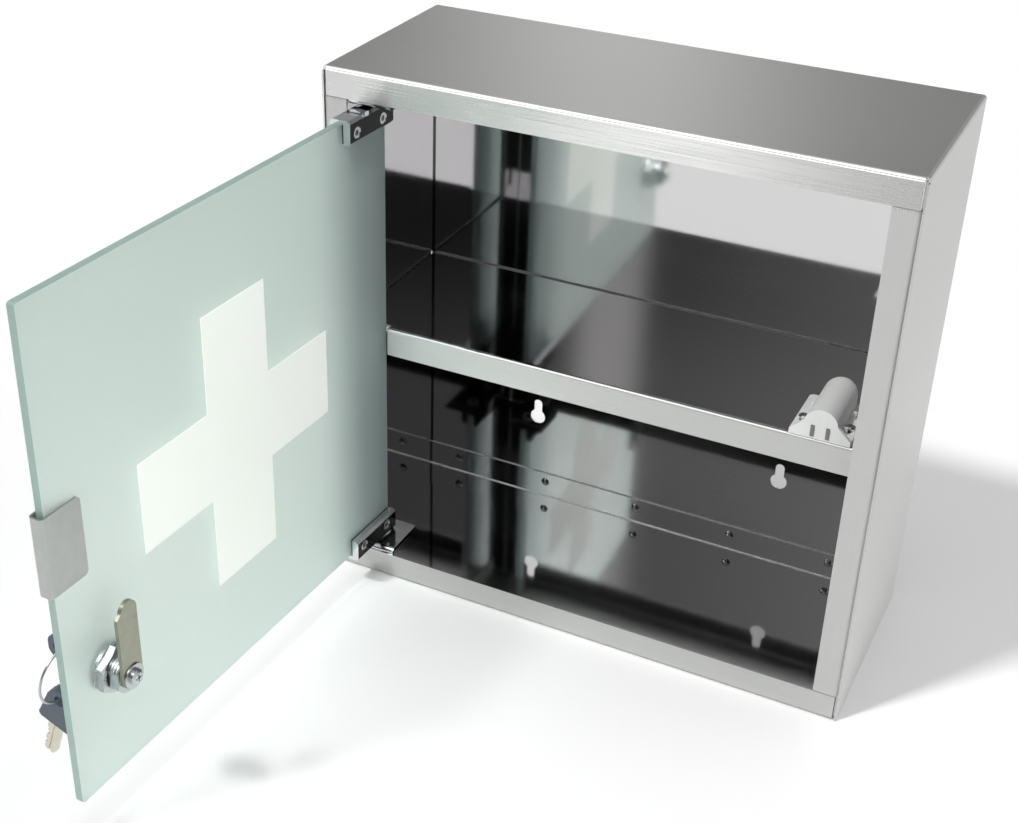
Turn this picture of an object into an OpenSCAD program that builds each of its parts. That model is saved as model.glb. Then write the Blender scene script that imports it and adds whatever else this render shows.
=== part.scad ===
// Lockable wall medicine cabinet: folded stainless case with one fixed shelf, a frosted
// glass door on pivot clamps, a cam lock with its keys, and a magnetic catch.
// Frame: X runs to the right along the front, Y runs from the front to the wall, Z is up.
// The origin is the centre of the case's underside. The door is drawn open.

/* [Case] */
// Width of the case
case_w = 300; // [260:1:400]
// Height of the case
case_h = 300; // [280:1:400]
// Depth of the case
case_d = 120; // [100:1:180]
// Thickness of the case sheet
sheet = 1; // [0.8:0.1:1.2]
// Outer radius of the folds
fold_r = 1.8; // [1.5:0.1:2.5]
// Height of the front flanges over and under the opening
flange_h = 15; // [14:0.5:20]
// Width of the stiles at the sides of the opening
stile_w = 14; // [13:0.5:18]
// Height of the upstand at the back of the bottom panel
upstand_h = 17; // [12:0.5:22]

/* [Shelf] */
// Height of the shelf's top face
shelf_z = 150.5; // [140:0.5:190]
// Distance of the shelf's lip behind the front of the case
shelf_back = 18.6; // [18.6:0.1:24]
// Height of the shelf's front lip
shelf_lip = 16; // [10:0.5:20]

/* [Wall keyholes] */
// Distance between the two keyholes
keyhole_pitch = 152; // [100:1:200]
// Height of the keyholes' entry circles
keyhole_z = 56; // [40:1:80]
// Diameter of the entry circle
keyhole_entry_d = 9.5; // [8:0.5:12]
// Width of the hanging slot
keyhole_slot_w = 5.2; // [4:0.2:6]

/* [Door] */
// Thickness of the glass
glass_t = 4; // [3:0.5:5]
// Gap between the glass and the stile on the hinge side
side_gap = 3; // [2.5:0.1:4]
// Gap between the glass and the stile on the lock side
lock_gap = 3; // [3:0.5:6]
// Gap between the glass and the flanges
flange_gap = 6; // [5.8:0.1:8]
// Depth of the closed glass's inner face behind the front of the case
glass_depth = 16.5; // [16:0.1:17]
// Angle at which the door is drawn, from closed
door_open = 92.5; // [0:0.5:97]

/* [Hinges] */
// Length of a clamp along the glass
clamp_l = 40; // [34:1:46]
// Height of a clamp over the glass
clamp_h = 10.5; // [10:0.5:15]
// Distance of the pivot from the glass's hinge edge
pivot_in = 5.6; // [5.4:0.1:6.5]
// Diameter of the pivot pin
pivot_d = 5; // [4:0.1:5]

/* [Lock] */
// Distance of the lock's axis from the glass's free edge
lock_in = 27.7; // [27:0.1:34]
// Height of the lock's axis
lock_z = 83; // [76:1:88]
// Length of the cam from the lock's axis to its tip
cam_reach = 41; // [38.5:0.5:41.5]
// Width of the cam
cam_w = 13; // [12.5:0.5:16]

/* [Handle and catch] */
// Height of the handle
handle_h = 40.5; // [30:0.5:50]
// Height of the handle's centre over the shelf's top face
handle_up = 10; // [8:0.5:19]
// Distance of the catch's middle from the right side of the case
catch_in = 34; // [31:0.5:40]

/* [Hidden] */
$fn = 48;

steel = [0.76, 0.77, 0.76];
chrome = [0.55, 0.57, 0.58];
nickel = [0.62, 0.62, 0.56];
slate = [0.28, 0.33, 0.37];
milky = [0.80, 0.88, 0.85, 0.8];
white = [0.93, 0.94, 0.93];
rubber = [0.15, 0.15, 0.16];

x_side = case_w / 2;            // outer face of the right side
x_wall = x_side - sheet;        // inner face of the right side
y_front = -case_d / 2;          // front plane of the case
y_back = case_d / 2;            // wall plane
open_x = x_side - stile_w;      // right edge of the opening
open_lo = flange_h;
open_hi = case_h - flange_h;
seam = 0.3;                     // gap where a stile butts a flange
groove = 1.3;                   // gap between a flange's end and the side
eps = 0.01;

// ---- door layout, in the closed door's own axes -------------------------------------
// s runs along the glass from its hinge edge, off runs inwards from its inner face.
glass_x0 = -open_x + side_gap;
glass_w = 2 * open_x - side_gap - lock_gap;
glass_lo = open_lo + flange_gap;
glass_hi = open_hi - flange_gap;
glass_corner = 1.5;
pad_t = 0.5;
plate_t = 0.8;
clamp_in = 4;                   // inner jaw
clamp_out = 2;                  // outer jaw
clamp_bridge = 2.2;             // bridge beyond the glass's edge
jaw_in = pad_t + plate_t;       // inner jaw's face, from the glass's inner face
clamp_t = clamp_out + pad_t + glass_t + jaw_in + clamp_in;
clamp_off = -glass_t - pad_t - clamp_out;
pivot_off = clamp_off + clamp_t / 2;
pivot_x = glass_x0 + pivot_in;
pivot_y = y_front + glass_depth + pivot_off;

door_max = 98;                  // widest opening, just before a clamp meets the stile
sweep_r = norm([pivot_in, pivot_off + glass_t]);
relief_side = 1.8;              // shelf cut clear of the swinging glass, sideways
relief_rear = 0.5;              // and to the rear
sweep_x = pivot_x - pivot_off * cos(door_max - 90) + pivot_in * sin(door_max - 90);

leaf_t = 2;                     // bracket sheet
bush_lip = 0.6;
bush_r = 4;
leaf_lo = glass_hi + clamp_bridge + 0.2 + bush_lip;
bracket_w = 24;

// ---- lock layout --------------------------------------------------------------------
lock_s = glass_w - lock_in;
barrel_r = 9;
plug_r = 6.5;
rosette_t = 3;
gasket_t = 0.8;
face_off = -glass_t - gasket_t - rosette_t;    // outer face of the lock
barrel_end = 11.4;
shank = 7;                      // square that drives the cam
cam_off = barrel_end + 0.3;
cam_t = 2;
wafer_pitch = 3;
wafer_first = 3.5;              // first wafer behind the face, and first cut behind the bow
keyway_w = 2.6;
keyway_h = 9;
blade_t = 2.2;
blade_h = 8;
blade_in = 18.4;                // length of blade inside the plug

// ---- keys ---------------------------------------------------------------------------
bow_l = 23.5;
bow_wide = 20;
bow_narrow = 13;
bow_t = 5;
bow_hole_r = 3;
bow_hole_in = 6;                // hole from the bow's narrow end
ring_r = 15.5;
ring_wire = 0.65;
key_bare = 3.6;                 // blade showing between the lock and the bow
bow_off = face_off - key_bare;  // wide end of the inserted key's bow
hole_off = bow_off - bow_l + bow_hole_in;
key_l = blade_in + key_bare;    // blade from its tip to the bow
wire_gap = 0.35;                // between the ring's wire and the side of a hole
ring_top = lock_z - bow_hole_r + ring_wire + wire_gap;
ring_lean = 7;                  // both lean outwards from the glass
spare_lean = 19;

// ---- handle and catch ---------------------------------------------------------------
handle_z = shelf_z + handle_up; // the inner leg stays in front of the magnet
handle_t = 1;
tape_t = 0.3;
handle_leg = 23.3;              // inner leg, from the outside of the web
handle_web = 2.8;               // outside of the web beyond the glass's edge
handle_depth = 7.6;             // over both legs
catch_x = x_side - catch_in;
catch_face = y_front + glass_depth + tape_t + handle_t + 0.3;
catch_w = 30.6;
catch_l = 42;
catch_wall = 2.2;               // front wall of the housing, before the magnet
catch_body_w = 17;
catch_body_h = 16.5;
ear_t = 2.6;
pole_gap = 7.6;
pole_t = 1.8;
pole_h = 6;
screw_in = 3.6;                 // catch screws from the ends of the ears
catch_screw_y = 14;             // and from the pole faces

// ---- folded sheet -------------------------------------------------------------------
function unit(v) = v / norm(v);
function turn(a, b) = sign(a[0] * b[1] - a[1] * b[0]);
function left_of(v) = [-v[1], v[0]];

// One face of a folded sheet, at distance k to the left of the centre line p.
// rc is the fold radius of the centre line, and every fold is square.
function fold_face(p, k, rc) = let (n = len(p)) concat(
    [p[0] + left_of(unit(p[1] - p[0])) * k],
    [for (i = [1 : n - 2]) let (
        a = unit(p[i] - p[i - 1]),
        b = unit(p[i + 1] - p[i]),
        c = p[i] - a * rc + b * rc,
        r = rc - turn(a, b) * k)
        for (t = [0 : 15 : 90]) c + (a * sin(t) - b * cos(t)) * r],
    [p[n - 1] + left_of(unit(p[n - 1] - p[n - 2])) * k]);

module folded(p, t = sheet, r_out = fold_r) {
    rc = r_out - t / 2;
    one = fold_face(p, t / 2, rc);
    other = fold_face(p, -t / 2, rc);
    polygon(concat(one, [for (i = [len(other) - 1 : -1 : 0]) other[i]]));
}

// A (Y, Z) profile drawn out along X from x0 to x1.
module along_x(x0, x1) {
    translate([x0, 0, 0])
        rotate([90, 0, 90])
            linear_extrude(x1 - x0) children();
}

// A (X, Z) profile drawn out along Y from y0 to y1.
module along_y(y0, y1) {
    translate([0, y1, 0])
        rotate([90, 0, 0])
            linear_extrude(y1 - y0) children();
}

// A cylinder along +Y from y0 to y1.
module rod_y(r, y0, y1) {
    translate([0, y0, 0])
        rotate([-90, 0, 0])
            cylinder(r = r, h = y1 - y0);
}

// A w by h rectangle with four round corners, from the origin.
module rounded_plate(w, h, r) {
    union() {
        translate([r, 0]) square([w - 2 * r, h]);
        translate([0, r]) square([w, h - 2 * r]);
        for (x = [r, w - r], y = [r, h - r])
            translate([x, y]) circle(r);
    }
}

module mirror_height() {
    translate([0, 0, case_h]) mirror([0, 0, 1]) children();
}

// ---- case ---------------------------------------------------------------------------
rivet_pitch = 60;
rivet_shift = -8.5;
rivet_r = 1.6;
rivet_z = 11;
module rivet_places() {
    for (i = [-2 : 2])
        translate([rivet_shift + i * rivet_pitch, 0, rivet_z]) children();
}

// Top and both sides in one sheet, with the upper front flange.
module case_shell() color(steel) {
    roof_z = case_h - sheet / 2;
    wall_x = x_side - sheet / 2;
    notch = 2.6;                // relief where the two upper folds meet
    union() {
        along_y(y_front + fold_r, y_back)
            folded([[-wall_x, 0], [-wall_x, roof_z], [wall_x, roof_z], [wall_x, 0]]);
        for (side = [-1, 1])
            translate([side * wall_x - sheet / 2, y_front, 0])
                cube([sheet, fold_r + eps, case_h - notch]);
        along_x(-x_wall + groove, x_wall - groove)
            folded([[y_front + sheet / 2, open_hi], [y_front + sheet / 2, roof_z],
                [y_front + 2 * fold_r, roof_z]]);
    }
}

// Floor of the case, with the lower front flange and the rear upstand.
module bottom_panel() color(steel) {
    flange_y = y_front + sheet / 2;
    upstand_y = y_back - 1.5 * sheet;
    difference() {
        union() {
            along_x(-x_wall + groove, x_wall - groove)
                folded([[flange_y, open_lo], [flange_y, sheet / 2],
                    [flange_y + 3 * fold_r, sheet / 2]]);
            along_x(-x_wall, x_wall)
                folded([[flange_y + 2 * fold_r, sheet / 2], [upstand_y, sheet / 2],
                    [upstand_y, upstand_h]]);
        }
        rivet_places() rod_y(rivet_r, y_back - 3 * sheet, y_back);
    }
}

module keyhole() {
    slot_rise = 9;
    circle(d = keyhole_entry_d);
    translate([-keyhole_slot_w / 2, 0]) square([keyhole_slot_w, slot_rise]);
    translate([0, slot_rise]) circle(d = keyhole_slot_w);
}

// Back sheet with a top return under the roof and the two wall keyholes.
module back_panel() color(steel) {
    return_l = 15;
    corner_cut = 1.25;
    back_y = y_back - sheet / 2;
    difference() {
        along_x(-x_wall, x_wall)
            folded([[back_y, 0], [back_y, case_h - 1.5 * sheet],
                [back_y - return_l, case_h - 1.5 * sheet]]);
        for (side = [-1, 1])
            translate([side * keyhole_pitch / 2, 0, keyhole_z])
                along_y(y_back - 2 * sheet, y_back + sheet) keyhole();
        rivet_places() rod_y(rivet_r, y_back - 3 * sheet, y_back + sheet);
        // corners cut to pass the inside of the shell's folds
        for (side = [-1, 1])
            translate([side * x_wall, 0, case_h - sheet])
                rotate([0, 45, 0])
                    cube([corner_cut, 2 * case_d, corner_cut], center = true);
    }
}

// An angle whose front leg is the stile and whose other leg is welded to the side.
module left_stile() color(steel) {
    leg = 13;
    lower = open_lo + seam;
    upper = open_hi - seam;
    leg_x = -x_wall + sheet / 2;
    difference() {
        translate([0, 0, sheet])
            linear_extrude(case_h - sheet - fold_r - seam)
                folded([[-open_x, y_front + sheet / 2], [leg_x, y_front + sheet / 2],
                    [leg_x, y_front + leg]]);
        translate([-x_side, y_front - eps, -eps])
            cube([2 * stile_w, fold_r + 0.2, lower + eps]);
        translate([-x_side, y_front - eps, upper])
            cube([2 * stile_w, fold_r + 0.2, case_h - upper]);
    }
}

module right_stile() mirror([1, 0, 0]) left_stile();

// Fixed shelf with a turned-down lip and turned-down ends and back. Its left front corner
// is relieved for the hinge edge of the glass, which swings in behind the lip's plane.
module shelf() color(steel) {
    lip_y = y_front + shelf_back + sheet / 2;
    rear_y = y_back - 1.5 * sheet;
    top_z = shelf_z - sheet / 2;
    skirt = 10;
    end_x = x_wall - sheet / 2;
    hole_y = catch_face + catch_screw_y;
    relief_x = sweep_x + relief_side;
    relief_y = pivot_y + sweep_r + relief_rear;
    difference() {
        union() {
            along_x(-end_x + fold_r, end_x - fold_r)
                folded([[lip_y, shelf_z - shelf_lip], [lip_y, top_z], [rear_y, top_z],
                    [rear_y, top_z - skirt]]);
            along_y(lip_y + fold_r, rear_y - fold_r)
                folded([[-end_x, top_z - skirt], [-end_x, top_z], [end_x, top_z],
                    [end_x, top_z - skirt]]);
        }
        for (side = [-1, 1])
            translate([catch_x + side * (catch_w / 2 - screw_in), hole_y, top_z - 2])
                cylinder(r = 1.25, h = 4);
        translate([-x_side, y_front, shelf_z - shelf_lip - 1])
            cube([relief_x + x_side, relief_y - y_front, shelf_lip + 2]);
    }
}

// Rivets through the upstand and the back sheet, domed on the inside.
module back_rivets() color(steel) {
    dome_r = 2.6;
    dome_h = 0.9;
    ball_r = (dome_r * dome_r + dome_h * dome_h) / (2 * dome_h);
    rivet_places()
        translate([0, y_back - 2 * sheet, 0]) {
            rod_y(rivet_r, 0, 2 * sheet);
            rotate([90, 0, 0])
                intersection() {
                    translate([0, 0, dome_h - ball_r]) sphere(ball_r);
                    cylinder(r = dome_r + 1, h = dome_h + 1);
                }
        }
}

// Angle on the right side that the cam turns behind.
keeper_clear = 0.5;
module lock_keeper() color(steel) {
    keeper_t = 1.5;
    keeper_h = 44;
    face_y = y_front + glass_depth + cam_off - keeper_clear - keeper_t / 2;
    leg_x = x_wall - keeper_t / 2;
    translate([0, 0, lock_z - keeper_h / 2])
        linear_extrude(keeper_h)
            folded([[open_x + 1, face_y], [leg_x, face_y], [leg_x, face_y + 18]],
                keeper_t, 2.5);
}

// Angle welded behind the front flange, with the hole for the pivot's bush.
module hinge_bracket_top() color(chrome) {
    leg_y = y_front + sheet + leaf_t / 2;
    leaf_z = leaf_lo + leaf_t / 2;
    depth = 27;
    difference() {
        along_x(-open_x, -open_x + bracket_w)
            folded([[leg_y, case_h - 4], [leg_y, leaf_z], [leg_y + depth, leaf_z]],
                leaf_t, 2.8);
        translate([pivot_x, pivot_y, leaf_lo - 1])
            cylinder(r = bush_r, h = leaf_t + 2);
    }
}

module hinge_bracket_bottom() mirror_height() hinge_bracket_top();

module hinge_bush() {
    translate([pivot_x, pivot_y, leaf_lo])
        difference() {
            union() {
                translate([0, 0, -bush_lip]) cylinder(r = bush_r + 1.2, h = bush_lip);
                cylinder(r = bush_r, h = leaf_t + 1.6);
            }
            translate([0, 0, -1]) cylinder(r = pivot_d / 2 + 0.05, h = leaf_t + 4);
        }
}

module hinge_bushes() color(white) {
    hinge_bush();
    mirror_height() hinge_bush();
}

// ---- magnetic catch -----------------------------------------------------------------
module at_catch() {
    translate([catch_x, catch_face, shelf_z]) children();
}

pole_in = 22;
pole_lo = 1.4;
magnet_y = catch_wall + 0.7;
module pole_slot(grow) {
    for (side = [-1, 1])
        translate([side * pole_gap / 2 - pole_t / 2 - grow, -1, pole_lo - grow])
            cube([pole_t + 2 * grow, pole_in + 1 + grow, pole_h + 2 * grow]);
}

// Housing with a round top and a round far end, on a base with two slotted ears.
module catch_body() color(white) at_catch() {
    r = catch_body_w / 2;
    nose = 0.6;                 // the front face lies this far behind the pole faces
    gusset_h = 10;
    difference() {
        union() {
            // raised housing
            intersection() {
                union() {
                    translate([0, nose, catch_body_h - r]) rod_y(r, 0, catch_l + 2 - r);
                    translate([0, nose + catch_l + 2 - r, catch_body_h - r]) sphere(r);
                    translate([-r, nose, 0]) cube([2 * r, catch_l + 2 - r, catch_body_h - r]);
                    translate([0, nose + catch_l + 2 - r, 0])
                        cylinder(r = r, h = catch_body_h - r);
                }
                translate([-catch_w, 0, 0]) cube([2 * catch_w, 2 * catch_l, 2 * catch_body_h]);
            }
            // base and ears
            translate([-catch_w / 2, nose, 0])
                linear_extrude(ear_t) rounded_plate(catch_w, catch_l - 4, 2.5);
            // front wall sloping down to the ears
            along_y(nose, nose + catch_wall)
                polygon([[-catch_w / 2, 0], [catch_w / 2, 0], [catch_w / 2, ear_t],
                    [r - 1, gusset_h], [1 - r, gusset_h], [-catch_w / 2, ear_t]]);
            // ribs from the ears up to the housing
            for (y = [7, 24])
                translate([-r - 3, nose + y, 0]) cube([2 * r + 6, 1.4, 6]);
        }
        // screw slots
        for (side = [-1, 1])
            translate([side * (catch_w / 2 - screw_in), catch_screw_y, -1]) {
                for (y = [-2.5, 2.5])
                    translate([0, y, 0]) cylinder(r = 1.7, h = ear_t + 2);
                translate([-1.7, -2.5, 0]) cube([3.4, 5, ear_t + 2]);
            }
        // pockets for the magnet and its poles
        pole_slot(0.05);
        translate([-(pole_gap - pole_t) / 2 - 0.05, nose + catch_wall, pole_lo - 0.05])
            cube([pole_gap - pole_t + 0.1, pole_in - nose - catch_wall, pole_h + 0.1]);
    }
}

module catch_poles() color(chrome) at_catch()
    for (side = [-1, 1])
        translate([side * pole_gap / 2 - pole_t / 2, 0, pole_lo])
            cube([pole_t, pole_in, pole_h]);

module catch_magnet() color(rubber) at_catch()
    translate([-(pole_gap - pole_t) / 2, magnet_y, pole_lo])
        cube([pole_gap - pole_t, pole_in - magnet_y - 0.1, pole_h]);

// Pan-head screws through the ears into the shelf.
module catch_screws() color(chrome) at_catch()
    for (side = [-1, 1])
        translate([side * (catch_w / 2 - screw_in), catch_screw_y, 0])
            difference() {
                union() {
                    translate([0, 0, ear_t]) cylinder(r = 2.7, h = 1.1);
                    translate([0, 0, ear_t + 1.1]) cylinder(r1 = 2.7, r2 = 1.7, h = 0.6);
                    translate([0, 0, -6]) cylinder(r = 1.2, h = 6 + ear_t);
                }
                for (a = [0, 90])
                    translate([0, 0, ear_t + 0.8]) rotate([0, 0, a])
                        translate([-1.4, -0.3, 0]) cube([2.8, 0.6, 2]);
            }

// ---- door ---------------------------------------------------------------------------
// Puts a piece drawn in the door's axes (s, off, z) where the opened door is.
module on_door() {
    translate([pivot_x, pivot_y, 0])
        rotate([0, 0, -door_open])
            translate([-pivot_in, -pivot_off, 0]) children();
}

module glass_door() color(milky) on_door() {
    difference() {
        translate([0, 0, glass_lo])
            along_y(-glass_t, 0)
                rounded_plate(glass_w, glass_hi - glass_lo, glass_corner);
        translate([lock_s, 0, lock_z]) rod_y(barrel_r + 0.6, -glass_t - 1, 1);
    }
}

// Cross printed on the inner face, in the middle of the glass.
cross_span = 149;
cross_arm = 48;
module door_cross() color(white) on_door() {
    print_t = 0.15;
    translate([glass_w / 2, 0, (glass_lo + glass_hi) / 2])
        along_y(0, print_t)
            for (size = [[cross_span, cross_arm], [cross_arm, cross_span]])
                square(size, center = true);
}

clamp_lo = glass_hi - clamp_h;
clamp_screw_s = [9.5, clamp_l - 6.5];
clamp_screw_z = glass_hi - 5.2;
clamp_screw_r = 3;

// U-shaped clamp over the glass's corner, with two tapped holes in its inner jaw.
module hinge_clamp_top() color(chrome) on_door() {
    edge = 1.4;                 // bevel
    slot_off = -glass_t - pad_t;
    slot_t = pad_t + glass_t + jaw_in;
    profile = [
        [clamp_off, clamp_lo], [slot_off, clamp_lo], [slot_off, glass_hi],
        [slot_off + slot_t, glass_hi], [slot_off + slot_t, clamp_lo],
        [clamp_off + clamp_t - edge, clamp_lo], [clamp_off + clamp_t, clamp_lo + edge],
        [clamp_off + clamp_t, glass_hi + clamp_bridge - edge],
        [clamp_off + clamp_t - edge, glass_hi + clamp_bridge],
        [clamp_off + edge, glass_hi + clamp_bridge],
        [clamp_off, glass_hi + clamp_bridge - edge]];
    difference() {
        along_x(0, clamp_l) polygon(profile);
        for (s = clamp_screw_s)
            translate([s, 0, clamp_screw_z]) rod_y(clamp_screw_r + 0.05, 0, 12);
        translate([pivot_in, pivot_off, glass_hi - 1])
            cylinder(r = pivot_d / 2, h = clamp_bridge + 2);
    }
}

module hinge_clamp_bottom() mirror_height() hinge_clamp_top();

// One side's pieces drawn for the top clamp, and again mirrored for the bottom one.
module both_clamps() {
    on_door() children();
    mirror_height() on_door() children();
}

module clamp_plates() color(steel) both_clamps()
    translate([1.5, pad_t, clamp_lo + 0.4])
        cube([clamp_l - 3, plate_t, clamp_h - 0.8]);

module clamp_pads() color(rubber) both_clamps()
    for (y = [0, -glass_t - pad_t])
        translate([1, y, clamp_lo + 0.2]) cube([clamp_l - 2, pad_t, clamp_h - 0.4]);

module clamp_screws() color(chrome) both_clamps()
    for (s = clamp_screw_s)
        translate([s, 0, clamp_screw_z])
            difference() {
                rod_y(clamp_screw_r, jaw_in, jaw_in + clamp_in - 0.3);
                translate([0, jaw_in + clamp_in - 2.3, 0])
                    rotate([-90, 0, 0]) cylinder(r = 1.7, h = 4, $fn = 6);
            }

module hinge_pins() color(steel) both_clamps()
    translate([pivot_in, pivot_off, glass_hi])
        cylinder(r = pivot_d / 2, h = leaf_lo + leaf_t + 1.2 - glass_hi);

// Pull folded from sheet round the glass's free edge. Its inner leg is also the plate
// that the magnet holds.
module handle() color(steel) on_door() {
    in_off = tape_t + handle_t / 2;
    out_off = in_off - handle_depth + handle_t;
    web_s = glass_w + handle_web - handle_t / 2;
    leg_s = glass_w + handle_web - handle_leg;
    translate([0, 0, handle_z - handle_h / 2])
        difference() {
            linear_extrude(handle_h)
                folded([[leg_s, in_off], [web_s, in_off], [web_s, out_off],
                    [leg_s + 3, out_off]], handle_t, 2);
            for (z = [0, handle_h])
                translate([leg_s, 0, z])
                    rotate([0, 45, 0])
                        translate([-1.2, -15, -1.2]) cube([2.4, 30, 2.4]);
        }
}

module handle_tape() color(rubber) on_door()
    translate([glass_w + handle_web - handle_leg + 2, 0, handle_z - handle_h / 2 + 2])
        cube([handle_leg - handle_web - 3, tape_t, handle_h - 4]);

// ---- lock ---------------------------------------------------------------------------
// Axes of the lock: y runs along its axis, inwards from the glass's inner face.
module at_lock() {
    on_door() translate([lock_s, 0, lock_z]) children();
}

// Threaded barrel with two flats and a bevelled rosette.
module lock_barrel() color(nickel) at_lock() {
    rosette_r = 12;
    thread_pitch = 1.6;
    difference() {
        union() {
            rotate([-90, 0, 0])
                rotate_extrude()
                    polygon([[0, face_off], [rosette_r - 1.4, face_off],
                        [rosette_r, face_off + 1.2], [rosette_r, face_off + rosette_t],
                        [0, face_off + rosette_t]]);
            intersection() {
                difference() {
                    rod_y(barrel_r, face_off, barrel_end);
                    for (i = [0 : 6])
                        translate([0, 1.5 + i * thread_pitch, 0])
                            rotate([-90, 0, 0])
                                rotate_extrude()
                                    polygon([[barrel_r + 1, -0.6], [barrel_r - 0.5, 0],
                                        [barrel_r + 1, 0.6]]);
                }
                translate([-7.8, face_off - 1, -15]) cube([15.6, 40, 30]);
            }
        }
        rod_y(plug_r + 0.05, face_off - 1, barrel_end + 1);
    }
}

module ring_plate(r_out, r_in, y0, t) {
    difference() {
        rod_y(r_out, y0, y0 + t);
        rod_y(r_in, y0 - 1, y0 + t + 1);
    }
}

module lock_gasket() color(rubber) at_lock()
    ring_plate(11.6, barrel_r + 0.2, -glass_t - gasket_t, gasket_t);

washer_t = 1.6;
nut_t = 4;
nut_r = 12.4;                   // across the corners, halved
module lock_washer() color(nickel) at_lock()
    ring_plate(11.8, barrel_r + 0.3, 0, washer_t);

module lock_nut() color(nickel) at_lock()
    difference() {
        translate([0, washer_t, 0]) rotate([-90, 30, 0])
            intersection() {
                cylinder(r = nut_r, h = nut_t, $fn = 6);
                rotate_extrude()
                    polygon([[0, 0], [nut_r, 0], [nut_r, nut_t - 1], [nut_r - 1.6, nut_t],
                        [0, nut_t]]);
            }
        rod_y(barrel_r + 0.1, 0, washer_t + nut_t + 1);
    }

// Plug with the keyway and five wafer slots, and the square that drives the cam.
module lock_plug() color(nickel) at_lock() {
    difference() {
        union() {
            rod_y(plug_r, face_off - 0.3, barrel_end + 0.2);
            translate([-shank / 2, barrel_end, -shank / 2])
                cube([shank, cam_off + cam_t - barrel_end - 0.1, shank]);
        }
        translate([-keyway_w / 2, face_off - 1, -keyway_h / 2])
            cube([keyway_w, blade_in + 1.3, keyway_h]);
        wafer_places() translate([-2.6, -0.65, -5.9]) cube([5.2, 1.3, 11.8]);
        rod_y(1.65, barrel_end - 0.5, cam_off + cam_t + 1);
    }
}

module wafer_places() {
    for (i = [0 : 4])
        translate([0, face_off + wafer_first + i * wafer_pitch, 0]) children();
}

module lock_wafers() color([0.78, 0.66, 0.38]) at_lock()
    wafer_places()
        difference() {
            translate([-2.4, -0.5, -5.8]) cube([4.8, 1, 11.6]);
            translate([-1.6, -1, -4.6]) cube([3.2, 2, 9.2]);
        }

// Cam pointing up, its tip narrowed by a shoulder on the free side.
module lock_cam() color(nickel) at_lock() {
    shoulder = 2.5;
    half_w = cam_w / 2;
    tip_r = (cam_w - shoulder) / 2;
    tip_z = cam_reach - tip_r;
    along_y(cam_off, cam_off + cam_t)
        difference() {
            union() {
                circle(r = half_w);
                polygon([[-half_w, 0], [half_w, 0], [half_w, tip_z - 1],
                    [half_w - shoulder, tip_z + 1], [-half_w, tip_z + 1]]);
                translate([-shoulder / 2, tip_z]) circle(r = tip_r);
            }
            square(shank + 0.2, center = true);
        }
}

module cam_washer() color(nickel) at_lock()
    ring_plate(6.2, 2.1, cam_off + cam_t, 0.8);

module cam_screw() color(nickel) at_lock() {
    y0 = cam_off + cam_t + 0.8;
    difference() {
        union() {
            rod_y(3.9, y0, y0 + 1.5);
            translate([0, y0 + 1.5, 0])
                rotate([-90, 0, 0]) cylinder(r1 = 3.9, r2 = 2.6, h = 0.8);
            rod_y(1.6, barrel_end, y0);
        }
        for (a = [0, 90])
            translate([0, y0 + 0.9, 0]) rotate([0, a, 0])
                translate([-2, 0, -0.4]) cube([4, 2, 0.8]);
    }
}

// ---- keys ---------------------------------------------------------------------------
// A key is drawn in its own plane: x away from the blade's tip, y up, tip at the left.
module bow_outline() {
    r = 2.5;
    n = bow_narrow / 2;
    w = bow_wide / 2;
    slope = (w - n) / bow_l;
    difference() {
        union() {
            polygon([[0, -w + r], [r, -w + r * slope], [bow_l - 5, -n - 5 * slope],
                [bow_l, -n + 5], [bow_l, n - 5], [bow_l - 5, n + 5 * slope],
                [r, w - r * slope], [0, w - r]]);
            translate([bow_l - 5, 0]) round_end(5, n);
            for (side = [-1, 1])
                translate([r, side * (w - r - 0.25)]) circle(r);
        }
        translate([bow_l - bow_hole_in, 0]) circle(bow_hole_r);
    }
}

// A narrow end rounded with two quarter circles of radius r, half height n.
module round_end(r, n) {
    for (side = [-1, 1])
        translate([0, side * (n - r)]) circle(r);
}

module key_bow() {
    translate([0, 0, -bow_t / 2]) linear_extrude(bow_t) bow_outline();
}

// Blade with five cuts along its upper edge and a shoulder next to the bow.
module key_shaft(length) {
    cuts = [1.0, 1.8, 0.9, 1.6, 1.2];
    root = 5;                   // length buried in the bow
    difference() {
        translate([0, 0, -blade_t / 2])
            linear_extrude(blade_t)
                polygon([[-length, -blade_h / 2 + 1.5], [-length + 3, -blade_h / 2],
                    [root, -blade_h / 2], [root, blade_h / 2],
                    [-length + 3, blade_h / 2], [-length, blade_h / 2 - 2]]);
        for (i = [0 : 4])
            translate([-key_bare - wafer_first - i * wafer_pitch, blade_h / 2, 0])
                rotate([0, 0, 45])
                    translate([-cuts[i], -cuts[i], -5]) cube([2 * cuts[i], 2 * cuts[i], 10]);
        translate([-length - 1, -0.5, 0.5]) cube([length - 1, 1.1, 5]);
    }
}

// Key in the lock: its plane holds the lock's axis and Z, and its bow is outside.
module in_keyway() {
    at_lock() translate([0, bow_off, 0]) rotate([0, 0, -90]) rotate([90, 0, 0]) children();
}

module key_blade() color(nickel) in_keyway() key_shaft(key_l);

module bow_with_root() {
    difference() {
        key_bow();
        translate([-1, -blade_h / 2, -blade_t / 2]) cube([6, blade_h, blade_t]);
    }
}

module key_head() color(slate) in_keyway() bow_with_root();

// Axes of the ring: origin at the wire in the bow's hole, z up the leaning ring.
module at_ring() {
    at_lock()
        translate([0, hole_off, ring_top - lock_z])
            rotate([-ring_lean, 0, 0]) children();
}

// Ring through the bow's hole, its plane holding the hole's axis.
module key_ring() color(chrome) at_ring()
    translate([0, 0, -ring_r])
        rotate([90, 0, 0])
            rotate_extrude(angle = 360)
                translate([ring_r, 0]) circle(r = ring_wire, $fn = 24);

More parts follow.
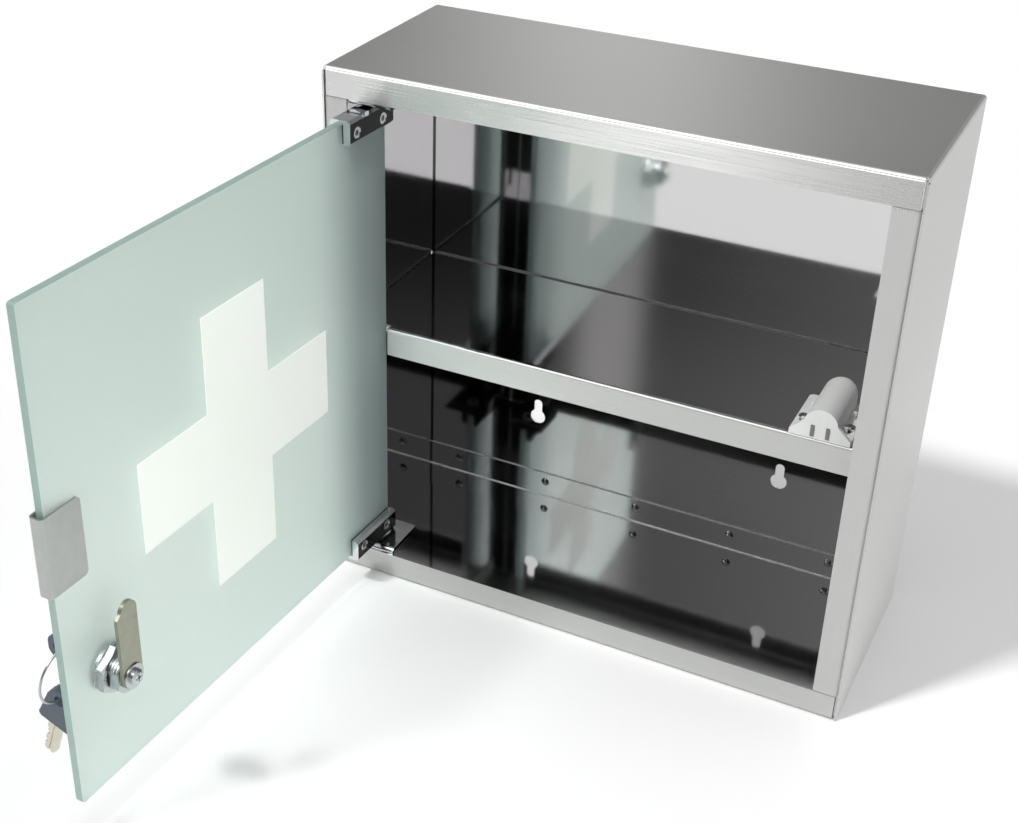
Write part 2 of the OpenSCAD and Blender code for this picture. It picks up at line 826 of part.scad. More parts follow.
// Spare key on the foot of the ring, its bow up and its blade down.
module on_ring() {
    hang = bow_hole_r - ring_wire - wire_gap;
    at_ring()
        translate([0, 0, -2 * ring_r])
            rotate([ring_lean - spare_lean, 0, 0])
                translate([0, 0, -hang])
                    rotate([0, 90, 0]) rotate([0, 0, 180])
                        translate([-bow_l + bow_hole_in, 0, 0]) children();
}

module spare_blade() color(nickel) on_ring() key_shaft(key_l);

module spare_head() color(slate) on_ring() bow_with_root();

case_shell();
bottom_panel();
back_panel();
left_stile();
right_stile();
shelf();
back_rivets();
lock_keeper();
hinge_bracket_top();
hinge_bracket_bottom();
hinge_bushes();
catch_body();
catch_magnet();
catch_poles();
catch_screws();
glass_door();
door_cross();
hinge_clamp_top();
hinge_clamp_bottom();
clamp_plates();
clamp_pads();
clamp_screws();
hinge_pins();
handle();
handle_tape();
lock_barrel();
lock_gasket();
lock_washer();
lock_nut();
lock_plug();
lock_wafers();
lock_cam();
cam_washer();
cam_screw();
key_blade();
key_head();
key_ring();
spare_blade();
spare_head();
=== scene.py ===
# %% [markdown]
# # A lockable medicine cabinet
# The real cabinet is a shallow case of folded stainless sheet with a frosted glass door, a lock
# and two keys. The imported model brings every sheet, clamp and key with its true shape and size,
# in metres. A new shape could be built for each piece, but the shapes are right as they are. So
# the work goes into what the eye reads next: how each surface takes the light.

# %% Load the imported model
import math

import bpy
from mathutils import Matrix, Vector

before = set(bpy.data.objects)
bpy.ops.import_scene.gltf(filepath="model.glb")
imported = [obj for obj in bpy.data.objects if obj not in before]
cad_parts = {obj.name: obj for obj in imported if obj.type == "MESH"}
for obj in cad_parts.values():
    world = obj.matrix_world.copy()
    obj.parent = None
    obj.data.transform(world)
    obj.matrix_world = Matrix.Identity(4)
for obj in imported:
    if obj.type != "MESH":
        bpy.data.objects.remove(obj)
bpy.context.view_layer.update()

# %% [markdown]
# ## Shader maths that reads like maths
# A finish is a recipe of numbers that change over a surface. In the node editor each sum is a
# box with wires. Wrapping a socket in a small class lets the same sum be written as `1 - mask`,
# and the class adds the boxes. Any node that isn't plain arithmetic comes from `node`.


# %% A socket that can be used in sums
class Wire:
    """One output socket of a node tree."""

    def __init__(self, tree, socket=None):
        self.tree = tree
        self.socket = socket

    def node(self, kind, settings=None, inputs=None, output=0):
        """Adds a node. settings come first, then the values or links of its sockets."""
        made = self.tree.nodes.new("ShaderNode" + kind)
        for key, value in (settings or {}).items():
            setattr(made, key, value)
        for key, value in (inputs or {}).items():
            if isinstance(value, Wire):
                self.tree.links.new(value.socket, made.inputs[key])
            else:
                made.inputs[key].default_value = value
        return Wire(self.tree, made.outputs[output] if made.outputs else None)

    def math(self, operation, first, second=0.0):
        return self.node("Math", {"operation": operation}, {0: first, 1: second})

    def __add__(self, other):
        return self.math("ADD", self, other)

    def __sub__(self, other):
        return self.math("SUBTRACT", self, other)

    def __rsub__(self, other):
        return self.math("SUBTRACT", other, self)

    def __mul__(self, other):
        return self.math("MULTIPLY", self, other)

    __radd__ = __add__
    __rmul__ = __mul__

    def size(self):
        return self.math("ABSOLUTE", self)

    def either(self, other):
        return self.math("MAXIMUM", self, other)

    def above(self, level, soft=0.001):
        """0 below the level and 1 above it, with a soft step between."""
        return self.node(
            "MapRange",
            {"interpolation_type": "SMOOTHSTEP"},
            {"Value": self, "From Min": level - soft, "From Max": level + soft},
        )

    def blend(self, low, high):
        """low where this is 0 and high where it is 1, for colours and vectors."""
        return self.node("Mix", {"data_type": "RGBA"}, {0: self, 6: low, 7: high}, output=2)

    def vector(self, operation, other, output=0):
        return self.node("VectorMath", {"operation": operation}, {0: self, 1: other}, output)

    def axis(self, name):
        return self.node("SeparateXYZ", None, {0: self}, output="XYZ".index(name))


# %% [markdown]
# ## From a material to a piece
# A finish starts from two facts: where a point is on the piece, and which way the surface faces
# there. Marks could be painted on each mesh instead. These two facts need no paint, and they
# stay with a piece: Object coordinates swing with the door, so a grain never slides.


# %% Start a material and put it on pieces
def start(name):
    """A new empty material, and the wire that adds nodes to it."""
    material = bpy.data.materials.new(name)
    material.use_nodes = True
    material.node_tree.nodes.clear()
    return material, Wire(material.node_tree)


def place_on(wire):
    """Where a point is, in metres, at the pose the model is drawn in."""
    return wire.node("TexCoord", output="Object")


def facing_on(wire):
    """Which way the surface faces."""
    return wire.node("TexCoord", output="Normal")


def show(material, shader):
    """Sends a finished shader to the material's output."""
    shader.node("OutputMaterial", None, {"Surface": shader})
    return material


def dress(material, names):
    """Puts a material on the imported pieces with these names."""
    for name in names:
        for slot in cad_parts[name].material_slots:
            slot.material = material
    print(material.name, "on", len(names), "pieces")


# %% [markdown]
# ## Shaders
# One Principled shader makes nearly every finish here. Where a piece has two finishes, both
# could be put on it as separate materials, with a hard line between. A mask in a Mix Shader
# gives a soft change instead, and it needs no choice of faces.


# %% One shader, or two with a mask
def layer(wire, varying, fixed):
    """One Principled shader. fixed values are set on its own sockets."""
    return wire.node("BsdfPrincipled", None, {**fixed, **varying})


def mix(where, first, second):
    """The first shader where the mask is 0 and the second where it is 1."""
    return first.node("MixShader", None, {0: where, 1: first, 2: second})


# %% [markdown]
# ## The grain of brushed sheet
# The outside of the case is brushed: fine scratches run across the top and the front, and
# upright on the sides and the stiles. A picture of brushed steel would show a seam at each fold.
# Noise that is pulled out long in one direction gives scratches anywhere, and the way a face
# looks says which direction.

# %% Brushed grain
MIDDLE = 0.5  # a noise's middle value
GRAIN_LONG = 14.0
GRAIN_CROSS = 1500.0
TURNS = (0.7, 0.05)  # how squarely a face looks along an axis, and how soft the change is
GRAIN_DETAIL, GRAIN_BREAK = 3.0, 0.6


def noise(place, scale, detail=2.0, rough=0.5):
    """Soft clouds from 0 to 1. A bigger scale gives finer ones."""
    return place.node(
        "TexNoise", None, {"Vector": place, "Scale": scale, "Detail": detail, "Roughness": rough}
    )


def bump(height, distance, strength):
    """Fine relief. distance is its height in metres."""
    return height.node(
        "Bump", None, {"Height": height, "Distance": distance, "Strength": strength}
    )


def brushed(place, facing, upright):
    """A streaky grain along X, or along Z on sideways faces and on upright strips."""
    long_way = place.vector("MULTIPLY", (GRAIN_CROSS, GRAIN_CROSS, GRAIN_LONG))
    if not upright:
        along_x = place.vector("MULTIPLY", (GRAIN_LONG, GRAIN_CROSS, GRAIN_CROSS))
        long_way = facing.axis("X").size().above(*TURNS).blend(along_x, long_way)
    return noise(long_way, scale=1.0, detail=GRAIN_DETAIL, rough=GRAIN_BREAK)


print("one scratch is about", round(1000 / GRAIN_CROSS, 2), "mm across")

# %% [markdown]
# ## Where the sheet is bright, bent or given a painted highlight
# The sheet is satin on one side and nearly a mirror on the other, and the mirror side is inside
# the case. Two materials could be put on face by face. One question needs no choice of faces:
# inside the case, a face looks to the middle. The same way of asking finds the folds, because
# only the round of a fold looks along no axis. The inner folds, the fold along the back of the
# shelf and the cut edge of the upstand get a painted highlight: a bright line in the colour,
# where these edges would catch the light.

# %% Masks for the sheet
CASE_MIDDLE = (0.0, 0.0, 0.15)
UPSTAND_TOP = 0.017
EDGE = (0.0006, 0.0002)  # half the width of the upstand's bright edge, and its softness
INWARD = (0.0, 0.0005)
MOSTLY = (0.7, 0.1)  # this and the next two are like TURNS
FLAT = (0.994, 0.003)
REARWARD = (0.05, 0.02)


def faces_middle(place, facing):
    """1 where a face looks towards the middle of the case."""
    inward = place.vector("SUBTRACT", CASE_MIDDLE).vector("DOT_PRODUCT", facing, "Value")
    return 1 - inward.above(*INWARD)


def faces_up(place, facing):
    return facing.axis("Z").above(*TURNS)


def nowhere(place, facing):
    return facing.axis("Z") * 0.0


def folded(facing):
    """1 on the round of a fold, where the surface faces along no axis."""
    widest = facing.axis("X").size().either(facing.axis("Y").size())
    return 1 - widest.either(facing.axis("Z").size()).above(*FLAT)


# Painted highlight: a mask for bright lines painted on the inner folds and on the upstand's cut
# edge.
def case_painted_highlights(place, facing):
    """The inner folds, and the cut edge of the upstand behind the floor of the case."""
    cut = (place.axis("Z") - UPSTAND_TOP).size()
    cut = (1 - cut.above(*EDGE)) * facing.axis("Z").above(*MOSTLY)
    return (folded(facing) * faces_middle(place, facing)).either(cut)


# Painted highlight: a mask for a bright line painted along the shelf's rear fold.
def shelf_painted_highlight(place, facing):
    """The fold along the back of the shelf."""
    return folded(facing) * facing.axis("Y").above(*REARWARD)


# %% [markdown]
# ## The colour of the sheet
# Satin steel is a middle grey that the grain breaks up, and the mirror side is lighter. Colour
# alone can't say how bright a face is, because the room's reflection does most of it. Beside
# the open door, and low on the sides, the real reflections are brighter than this plain room
# gives. A fuller room would be the true way. Instead a painted reflection, a little pale steel
# mixed into the colour in those places, is simpler, and it leaves the rest alone. The rear inner
# corners are dark lines.

# %% Sheet colours
SATIN_DARK, SATIN_LIGHT = (0.43, 0.435, 0.425, 1), (0.63, 0.635, 0.62, 1)
POLISHED, CORNER_LINE = (0.668, 0.658, 0.666, 1), (0.22, 0.22, 0.22, 1)
PAINTED_PALE = (0.95, 0.96, 0.95, 1)
GRAIN_TONE, CLOUD_TONE = 0.30, 0.14
# Painted reflection: shares of pale steel mixed into the satin colour beside the door and low on
# the sides.
DOOR_REFLECTION_SHARE, FLOOR_REFLECTION_SHARE = 0.65, 0.30  # the share of pale steel beside the door and low down
# Each pair below is where a change lies, in metres, and how soft it is.
DOOR_ACROSS, DOOR_FROM = (0.05, 0.10), (0.10, 0.02)
FLOOR_REACH = (0.13, 0.13)
CORNER_X, CORNER_Y = (0.1480, 0.0003), (0.0575, 0.0004)


def satin_colour(place, tone, side, front):
    """front is None on the stiles, which get no painted reflection beside the door."""
    satin = tone.blend(SATIN_DARK, SATIN_LIGHT)
    if front:
        # Painted reflection of the door, mixed into the colour.
        painted_door_reflection = front * (0 - place.axis("X")).above(*DOOR_ACROSS)
        painted_door_reflection = painted_door_reflection * place.axis("Z").above(*DOOR_FROM)
        satin = (painted_door_reflection * DOOR_REFLECTION_SHARE).blend(satin, PAINTED_PALE)
    # Painted reflection of the floor, low on the sides.
    painted_floor_reflection = side * (1 - place.axis("Z").above(*FLOOR_REACH))
    return (painted_floor_reflection * FLOOR_REFLECTION_SHARE).blend(satin, PAINTED_PALE)


def mirror_colour(place, mirror):
    corner = place.axis("X").size().above(*CORNER_X)
    corner = corner * place.axis("Y").above(*CORNER_Y) * mirror
    return corner.blend(POLISHED, CORNER_LINE)


# %% [markdown]
# ## The whole sheet recipe
# Satin, mirror, folds and the painted highlight lines each get their own smoothness and share
# of metal. A face that is partly not metal shows the light on it as well as what it mirrors, as
# dull satin does.
# On the upper flange the brushing draws the shine out into a long bright patch, which a round
# shine can't give, so that face has a second shader whose shine is stretched by its grain.

# %% Sheet recipe
SATIN_ROUGH = 0.32
BRIGHT_ROUGH = 0.06
SIDE_ROUGH = 0.16
FOLD_ROUGH = 0.22
PAINTED_HIGHLIGHT_ROUGH = 0.35
GRAIN_ROUGH, CLOUD_ROUGH = 0.20, 0.06
PAINTED_HIGHLIGHT_DULL, SIDE_DULL, FRONT_DULL = 0.8, 0.65, 0.22
SQUARELY = (0.98, 0.015)  # like TURNS
FLANGE_FOOT = 0.284
FLANGE_SPREAD = 1.0
ACROSS_X = 0.25
FLANGE_SMOOTHER = 0.03


def sheet_steel(name, bright, painted_highlight_at=nowhere, upright=False):
    """bright(place, facing) says where the mirror side shows. The third argument says where a
    bright line is painted as a highlight.
    """
    material, wire = start(name)
    place, facing = place_on(wire), facing_on(wire)
    mirror, painted_highlight = bright(place, facing), painted_highlight_at(place, facing)
    outer = 1 - mirror
    side = facing.axis("X").size().above(*MOSTLY) * outer
    front = (0 - facing.axis("Y")).above(*SQUARELY) * outer
    streak = (brushed(place, facing, upright) - MIDDLE) * outer
    cloud = noise(place, scale=9.0, detail=3.0) - MIDDLE

    tone = streak * GRAIN_TONE + cloud * CLOUD_TONE + MIDDLE
    satin = satin_colour(place, tone, side, None if upright else front)
    # Painted highlight lines and painted reflection go into the colour here.
    colour = painted_highlight.blend(mirror.blend(satin, mirror_colour(place, mirror)), PAINTED_PALE)
    rough = SATIN_ROUGH + streak * GRAIN_ROUGH + cloud * CLOUD_ROUGH + side * SIDE_ROUGH
    rough = rough + mirror * (BRIGHT_ROUGH - SATIN_ROUGH) + painted_highlight * PAINTED_HIGHLIGHT_ROUGH
    rough = rough + folded(facing) * outer * FOLD_ROUGH
    metal = 1 - painted_highlight * PAINTED_HIGHLIGHT_DULL - side * SIDE_DULL - front * FRONT_DULL

    surface = {"Base Color": colour, "Normal": bump(streak, distance=0.00002, strength=0.7)}
    plain = layer(wire, {**surface, "Metallic": metal, "Roughness": rough}, {})
    drawn = layer(
        wire,
        {**surface, "Roughness": rough - FLANGE_SMOOTHER},
        {"Metallic": 1.0, "Anisotropic": FLANGE_SPREAD, "Anisotropic Rotation": ACROSS_X},
    )
    return show(material, mix(front * place.axis("Z").above(FLANGE_FOOT), plain, drawn))


# %% [markdown]
# ## The folded sheets
# The case, the stiles and the shelf are all cut from the same sheet. One material for all could
# be enough, but the grain runs upright on the stiles, and the shelf is bright on its upper side
# rather than towards the middle. The keeper behind the stile is satin all over.

# %% Case, stiles, shelf and keeper
dress(
    sheet_steel("case_sheet", faces_middle, case_painted_highlights),
    ["case_shell", "bottom_panel", "back_panel"],
)
dress(sheet_steel("stile_sheet", faces_middle, upright=True), ["left_stile", "right_stile"])
dress(sheet_steel("shelf_sheet", faces_up, shelf_painted_highlight), ["shelf"])
dress(sheet_steel("keeper_sheet", nowhere), ["lock_keeper"])

# %% [markdown]
# ## Pieces that hardly throw a shadow
# In the photograph the open door and what it carries throw almost no shadow. Their shadows
# could be switched off, but then the glass would take nothing from the light behind it. Here a
# ray on its way to a lamp meets a clear shader with a tint instead.

# %% A faint shadow
DOOR_SHADE = (0.97, 0.97, 0.97, 1)
GLASS_SHADE = (0.82, 0.82, 0.82, 1)


def faint_shadow(shader, tint):
    """Lets a lamp's light through by the tint."""
    through = shader.node("BsdfTransparent", None, {"Color": tint})
    shadow_ray = shader.node("LightPath", output="Is Shadow Ray")
    return mix(shadow_ray, shader, through)


print("what the door carries lets", DOOR_SHADE[0], "of the light by, the glass", GLASS_SHADE[0])

# %% [markdown]
# ## Plated and turned metal
# Clamps, screws, lock and keys are small bright pieces, told apart by their colour and how
# sharply they mirror. A separate recipe for each would repeat itself. One recipe takes the
# colours and the smoothness, and adds a slight cloudiness, because plating is never quite even.

# %% Plated metal
REFLECTION_BLACK = (0.014, 0.015, 0.016, 1)


def unevenness(cloud, skin, cloud_share, skin_share):
    """A tone round the middle, from broad clouds and a fine skin."""
    return (cloud - MIDDLE) * cloud_share + (skin - MIDDLE) * skin_share + MIDDLE


def plated(name, dark, light, rough, spread, dark_reflection_on=None, shade=None):
    """The mask given after spread paints a dark reflection black where it is 1. shade is the tint
    of a faint shadow.
    """
    material, wire = start(name)
    place = place_on(wire)
    cloud = noise(place, scale=160.0, detail=3.0)
    fine = noise(place, scale=1900.0)
    colour = unevenness(cloud, fine, cloud_share=0.8, skin_share=0.4).blend(dark, light)
    # Painted reflection: black where the clamp would mirror something dark.
    if dark_reflection_on:
        colour = dark_reflection_on(facing_on(wire)).blend(colour, REFLECTION_BLACK)
    shader = layer(
        wire,
        {
            "Base Color": colour,
            "Roughness": rough + (cloud - MIDDLE) * spread,
            "Normal": bump(fine, distance=0.000008, strength=0.5),
        },
        {"Metallic": 1.0},
    )
    return show(material, faint_shadow(shader, shade) if shade else shader)


# %% [markdown]
# ## Clamps, screws and pivots
# The chrome clamps that grip the glass look almost black on their broad faces, because they
# mirror something dark beside the camera. That dark thing could be built and placed, but every
# bright piece would then show it. So that dark reflection is painted: the broad faces are
# coloured black and the edges stay bright.

# %% Clamps, screws and pivots
BROAD = (0.94, 0.03)  # like TURNS


def broad_face(facing):
    """1 on the flat of a clamp that looks into the case when the door stands open."""
    return facing.axis("X").above(*BROAD)


dress(
    plated("clamp_chrome", dark=(0.60, 0.62, 0.63, 1), light=(0.78, 0.80, 0.81, 1), rough=0.10,
           spread=0.06, dark_reflection_on=broad_face),
    ["hinge_clamp_top", "hinge_clamp_bottom", "hinge_bracket_top", "hinge_bracket_bottom"],
)
dress(
    plated("bright_steel", dark=(0.60, 0.61, 0.62, 1), light=(0.74, 0.75, 0.75, 1), rough=0.22,
           spread=0.08),
    ["clamp_screws", "catch_screws"],
)
dress(
    plated("turned_steel", dark=(0.52, 0.53, 0.53, 1), light=(0.66, 0.67, 0.67, 1), rough=0.24,
           spread=0.10),
    ["hinge_pins", "clamp_plates"],
)

# %% [markdown]
# ## Rivets and the poles of the catch
# Five rivets hold the back to the floor's upstand, and two dark steel plates stand out of the
# magnetic catch. The sheet's recipe could serve both, but at their size only colour and
# smoothness show, so the plated recipe with darker colours is enough.

# %% Rivets and poles
dress(
    plated("rivet_steel", dark=(0.44, 0.44, 0.445, 1), light=(0.54, 0.54, 0.545, 1), rough=0.12,
           spread=0.06),
    ["back_rivets"],
)
dress(
    plated("dark_steel", dark=(0.16, 0.16, 0.165, 1), light=(0.24, 0.24, 0.245, 1), rough=0.34,
           spread=0.10),
    ["catch_poles"],
)

# %% [markdown]
# ## The lock, its keys and the pull
# The lock is chrome, its cam and the keys are warmer nickel, and the sheet pull is satin. The
# wafers inside the lock are brass. All of them hang on the door, so all throw a faint shadow
# only. Modelled wear would be lost at this size, and a wider spread of smoothness suggests it.

# %% Lock, keys and pull
dress(
    plated("lock_chrome", dark=(0.42, 0.45, 0.455, 1), light=(0.62, 0.65, 0.66, 1), rough=0.28,
           spread=0.12, shade=DOOR_SHADE),
    ["lock_barrel", "lock_washer", "lock_nut", "lock_plug", "cam_washer", "cam_screw", "key_ring"],
)
dress(
    plated("cam_nickel", dark=(0.26, 0.27, 0.205, 1), light=(0.40, 0.41, 0.33, 1), rough=0.30,
           spread=0.12, shade=DOOR_SHADE),
    ["lock_cam"],
)
dress(
    plated("key_nickel", dark=(0.56, 0.53, 0.44, 1), light=(0.74, 0.71, 0.62, 1), rough=0.26,
           spread=0.12, shade=DOOR_SHADE),
    ["key_blade", "spare_blade"],
)
dress(
    plated("wafer_brass", dark=(0.60, 0.46, 0.20, 1), light=(0.78, 0.64, 0.34, 1), rough=0.28,
           spread=0.10, shade=DOOR_SHADE),
    ["lock_wafers"],
)
dress(
    plated("handle_steel", dark=(0.40, 0.42, 0.405, 1), light=(0.52, 0.54, 0.525, 1), rough=0.34,
           spread=0.08, shade=DOOR_SHADE),
    ["handle"],
)

# %% [markdown]
# ## Moulded pieces
# Plastic and rubber come out of a mould with a skin that is finely uneven. A smooth shader
# would look wet, and a modelled skin would be far too fine to build. Noise in the relief and in
# the smoothness gives the skin, and a slow cloud keeps the colour from being flat.

# %% Moulded things
SKIN_ROUGH = 0.2


def moulded(name, dark, light, rough, grain, depth, glow=0.0, shade=None):
    """glow is painted light, with which the part shines by itself. shade is the tint of a faint
    shadow.
    """
    material, wire = start(name)
    place = place_on(wire)
    cloud = noise(place, scale=60.0)
    skin = noise(place, scale=grain, detail=3.0, rough=0.6)
    tone = unevenness(cloud, skin, cloud_share=0.7, skin_share=0.5)
    shader = layer(
        wire,
        {
            "Base Color": tone.blend(dark, light),
            "Roughness": rough + (skin - MIDDLE) * SKIN_ROUGH,
            "Normal": bump(skin, distance=depth, strength=0.7),
        },
        {"Specular IOR Level": 0.5, "Emission Color": light, "Emission Strength": glow},
    )
    return show(material, faint_shadow(shader, shade) if shade else shader)


# %% [markdown]
# ## Plastic, rubber and the magnet
# The catch and the pivot bushes are white plastic, and the key heads are dark slate. The pads,
# the tape and the gasket are matt black, and the magnet is a dull dark grey. What tells them
# apart is mostly colour and sheen, so they differ only in what the recipe is given.

# %% Plastic, rubber and the magnet
dress(
    moulded("white_plastic", dark=(0.62, 0.63, 0.62, 1), light=(0.74, 0.75, 0.73, 1), rough=0.38,
            grain=900.0, depth=0.00002),
    ["catch_body", "hinge_bushes"],
)
dress(
    moulded("slate_plastic", dark=(0.040, 0.055, 0.072, 1), light=(0.070, 0.092, 0.115, 1),
            rough=0.42, grain=1200.0, depth=0.00004, shade=DOOR_SHADE),
    ["key_head", "spare_head"],
)
dress(
    moulded("black_rubber", dark=(0.012, 0.012, 0.013, 1), light=(0.030, 0.030, 0.032, 1),
            rough=0.75, grain=1600.0, depth=0.00004, shade=DOOR_SHADE),
    ["clamp_pads", "handle_tape", "lock_gasket"],
)
dress(
    moulded("ferrite", dark=(0.020, 0.020, 0.022, 1), light=(0.045, 0.045, 0.048, 1), rough=0.60,
            grain=700.0, depth=0.00003),
    ["catch_magnet"],
)

# %% [markdown]
# ## The cross
# The cross on the door is as white as the floor in the photograph. On this side of the door a
# print gets little light, and a brighter lamp would whiten everything else too. So the print
# is given painted light: it glows slightly by itself, though nothing lights it that brightly.

# %% The cross
dress(
    moulded("white_print", dark=(0.86, 0.92, 0.85, 1), light=(0.92, 0.97, 0.91, 1), rough=0.48,
            # glow=0.17 is painted light on the print.
            grain=500.0, depth=0.00001, glow=0.17, shade=DOOR_SHADE),
    ["door_cross"],
)

# %% [markdown]
# ## Frosted glass
# The glass is etched, so light comes through it but shapes blur within a few millimetres. It is
# faintly green, more so at its edges, where the light has travelled through more of it. Plain
# see-through glass would show the keys sharply, and rough transmission gives the blur. Towards
# the hinge and the top the pane is darker, from what stands behind and beside it in the
# photograph. Part of that comes by itself, and painted shade in the tint gives the rest.

# %% The tint of the glass
# A pair that ends in FROM is where a change lies, in metres, and how soft it is.
PANE_DARK, PANE_LIGHT = (0.72, 0.81, 0.77, 1), (0.78, 0.855, 0.82, 1)
PANE_TOP_SHADE, TOP_SHADE_SHARE, TOP_FROM = (0.585, 0.675, 0.64, 1), 0.6, (0.20, 0.09)
PANE_HINGE_SHADE, HINGE_FROM = (0.43, 0.52, 0.51, 1), (-0.080, 0.026)
PANE_EDGE = (0.34, 0.45, 0.425, 1)

glass, wire = start("frosted_glass")
place, facing = place_on(wire), facing_on(wire)
etch = noise(place, scale=2600.0)
pane = unevenness(noise(place, scale=7.0), etch, cloud_share=0.5, skin_share=0.3)
pane = pane.blend(PANE_DARK, PANE_LIGHT)
# Painted shade: the tint darkens towards the top and towards the hinge.
pane = (place.axis("Z").above(*TOP_FROM) * TOP_SHADE_SHARE).blend(pane, PANE_TOP_SHADE)
pane = place.axis("Y").above(*HINGE_FROM).blend(pane, PANE_HINGE_SHADE)
tint = facing.axis("X").size().above(*MOSTLY).blend(PANE_EDGE, pane)
print("the glass darkens over", round(2000 * HINGE_FROM[1]), "mm, towards the hinge")

# %% The etched pane
ETCH_ROUGH, ETCH_SPREAD = 0.52, 0.12
etched = layer(
    wire,
    {
        "Base Color": tint,
        "Roughness": ETCH_ROUGH + (etch - MIDDLE) * ETCH_SPREAD,
        "Normal": bump(etch, distance=0.00001, strength=0.5),
    },
    {"Transmission Weight": 0.55, "IOR": 1.45},
)
dress(show(glass, faint_shadow(etched, GLASS_SHADE)), ["glass_door"])

# %% [markdown]
# ## The floor
# The cabinet stands on a pale, plain floor that is white to the eye. A curved backdrop would
# hide the horizon, but here the room beyond the floor is white too, so one big flat square is
# enough. It is nearly matt, and its paint varies only a little.

# %% Floor
FLOOR_HALF = 6.0
FLOOR_DARK, FLOOR_LIGHT = (0.80, 0.80, 0.80, 1), (0.81, 0.81, 0.81, 1)
floor_mesh = bpy.data.meshes.new("floor")
floor_mesh.from_pydata(
    [(x * FLOOR_HALF, y * FLOOR_HALF, 0) for x, y in ((-1, -1), (1, -1), (1, 1), (-1, 1))],
    [],
    [(0, 1, 2, 3)],
)
floor = bpy.data.objects.new("floor", floor_mesh)
bpy.context.scene.collection.objects.link(floor)
floor_paint, wire = start("floor_paint")
paper = noise(place_on(wire), scale=3.0).blend(FLOOR_DARK, FLOOR_LIGHT)
matt = layer(wire, {"Base Color": paper}, {"Roughness": 0.9, "Specular IOR Level": 0.1})
floor_mesh.materials.append(show(floor_paint, matt))
print("floor", 2 * FLOOR_HALF, "m square")

# %% [markdown]
# ## The lamps
# The shadow falls to the back and right, so the key light stands at the front left, rather
# high. One lamp could do all, but then a shine bright enough for the upper flange would whiten
# the floor. So one sun lights the plain surfaces, a second from nearly the same direction only
# shines in the bright ones, and a wide one overhead lifts the floor and the top.

# %% Lamps
KEY_WAY = Vector((0.348, 0.452, -0.822))
SHINE_WAY = Vector((0.305, 0.465, -0.831))
STRAIGHT_DOWN = Vector((0.0, 0.0, -1.0))


def sun(name, way, energy, width):
    """A sun that shines along way. width is its size in the sky, in degrees."""
    light = bpy.data.lights.new(name, "SUN")
    light.energy = energy
    light.angle = math.radians(width)
    lamp = bpy.data.objects.new(name, light)
    lamp.rotation_euler = way.to_track_quat("-Z", "Y").to_euler()
    bpy.context.scene.collection.objects.link(lamp)
    height = math.degrees(math.asin(-way.z / way.length))
    print(name, "stands", round(height, 1), "degrees above the floor")
    return lamp


sun("key_light", KEY_WAY, energy=2.0, width=6).visible_glossy = False
sun("key_shine", SHINE_WAY, energy=3.0, width=4).visible_diffuse = False
sun("overhead", STRAIGHT_DOWN, energy=1.1, width=50).visible_glossy = False

# %% [markdown]
# ## The room that lights
# Soft light comes from all round, with more from the right, where the photograph's right side
# is bright. Big area lamps would do this too, but they would show in the mirror side of the
# sheet. A room that is only a brightness for each direction has no edges to show. Straight
# above it is dark, because the wide sun is there.

# %% Soft light
SOFT_LIGHT = 0.76
SOFT_RIGHT = 0.47
ZENITH = (0.72, 0.08)
room = bpy.data.worlds.new("room")
bpy.context.scene.world = room
room.use_nodes = True
room.node_tree.nodes.clear()
wire = Wire(room.node_tree)
way = wire.node("TexCoord", output="Generated")
soft = (way.axis("X") * SOFT_RIGHT + SOFT_LIGHT) * (1 - way.axis("Z").above(*ZENITH))
sides = [round(SOFT_LIGHT + share, 2) for share in (-SOFT_RIGHT, SOFT_RIGHT)]
print("soft light from the left and the right", sides)

# %% [markdown]
# ## The room in the mirror
# The inside of the case mirrors a dark room behind the camera, with two upright light strips
# in it and a paler patch beside them. Behind the case the room is greyer, with one brighter
# band. Furniture and windows could be built out there. A map that gives a brightness for each
# turn round the set is far smaller, and each band can be moved until it meets the photograph.

# %% The dark side, behind the camera
DARK_ROOM = 0.02
# A band is its middle and half its width as turns in radians, and how soft its sides are.
PATCH, PATCH_LIGHT = (-0.10, 0.10, 0.26), 0.21
LEFT_STRIP, RIGHT_STRIP, STRIP_LIGHT = (-0.62, 0.035, 0.012), (-0.36, 0.022, 0.010), 0.38
RISE_FROM, RISE_LIGHT = (0.46, 0.06), 0.08


def band(turn, middle, half, soft):
    """1 in an upright band round a turn, given in radians."""
    return 1 - (turn - middle).size().above(half, soft)


front_turn = way.math("ARCTAN2", way.axis("X"), 0 - way.axis("Y"))
strips = band(front_turn, *LEFT_STRIP).either(band(front_turn, *RIGHT_STRIP))
dark_side = band(front_turn, *PATCH) * PATCH_LIGHT + DARK_ROOM + strips * STRIP_LIGHT
dark_side = dark_side + way.axis("Z").above(*RISE_FROM) * RISE_LIGHT
print("light strips at", [round(math.degrees(strip[0])) for strip in (LEFT_STRIP, RIGHT_STRIP)])

# %% The other sides
ROOM_LIGHT = 0.80
ROOM_BACK = 0.30
BACK_BAND, BAND_LIGHT = (-0.365, 0.08, 0.10), 0.68
BEHIND = (0.35, 0.3)
TOWARD_CAMERA = (0.30, 0.14)
OVERHEAD = (0.80, 0.10)

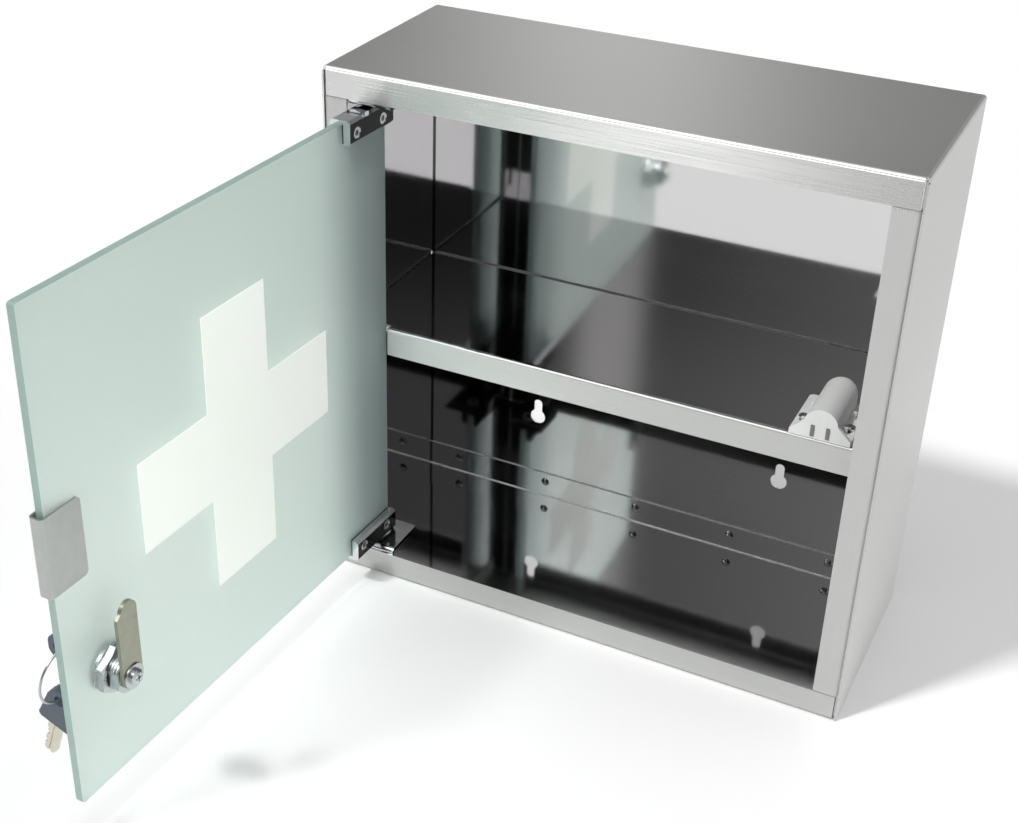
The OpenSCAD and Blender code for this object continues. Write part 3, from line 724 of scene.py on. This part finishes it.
back_turn = way.math("ARCTAN2", way.axis("X"), way.axis("Y"))
back_side = band(back_turn, *BACK_BAND) * BAND_LIGHT + ROOM_BACK
behind = way.axis("Y").above(*BEHIND)
bright_side = back_side * behind + ROOM_LIGHT * (1 - behind)
hidden = (0 - way.axis("Y")).above(*TOWARD_CAMERA) * (1 - way.axis("Z").above(*OVERHEAD))
mirrored = bright_side * (1 - hidden) + dark_side * hidden
print("bright band behind the case at", round(math.degrees(BACK_BAND[0])), "degrees")

# %% [markdown]
# ## Which room a ray meets
# The camera sees plain white round the floor. A ray that has been mirrored meets the room in
# the mirror, and all others meet the soft light. One room for both would be simpler, but then
# the dark behind the camera, which the mirror side needs, would dim the floor and the front.

# %% Choose the room
MIRRORED_ONCE = 0.5  # between no bounce and one
bounces = wire.node("LightPath", output="Glossy Depth")
scattered = wire.node("LightPath", output="Is Diffuse Ray")
glance = bounces.above(MIRRORED_ONCE) * (1 - scattered)
glow = mirrored * glance + soft * (1 - glance)
seen = wire.node("LightPath", output="Is Camera Ray")
light = seen * (1 - glow) + glow
background = wire.node("Background", None, {"Color": (1, 1, 1, 1), "Strength": light})
background.node("OutputWorld", None, {"Surface": background})
print("room nodes", len(room.node_tree.nodes))

# %% [markdown]
# ## Camera
# The camera stands where the photograph's edges say it stood: to the right, above, and about
# ninety centimetres away. It could be placed by eye, but then every edge would be a little off.
# The picture was cut a little off centre, which the small shift gives.

# %% Camera
CAMERA_AT = (0.25457, -0.70870, 0.55530)
CAMERA_TURN = (59.9024, -0.8343, 27.2359)
camera_data = bpy.data.cameras.new("camera")
camera_data.sensor_width = 36.0
camera_data.lens = 56.2178
camera_data.shift_x = 0.05223
camera_data.shift_y = -0.018646
camera = bpy.data.objects.new("camera", camera_data)
camera.location = CAMERA_AT
camera.rotation_euler = [math.radians(angle) for angle in CAMERA_TURN]
bpy.context.scene.collection.objects.link(camera)
bpy.context.scene.camera = camera
bpy.context.scene.view_settings.view_transform = "Standard"
print("camera", round((camera.location - Vector(CASE_MIDDLE)).length, 2), "m from the case")
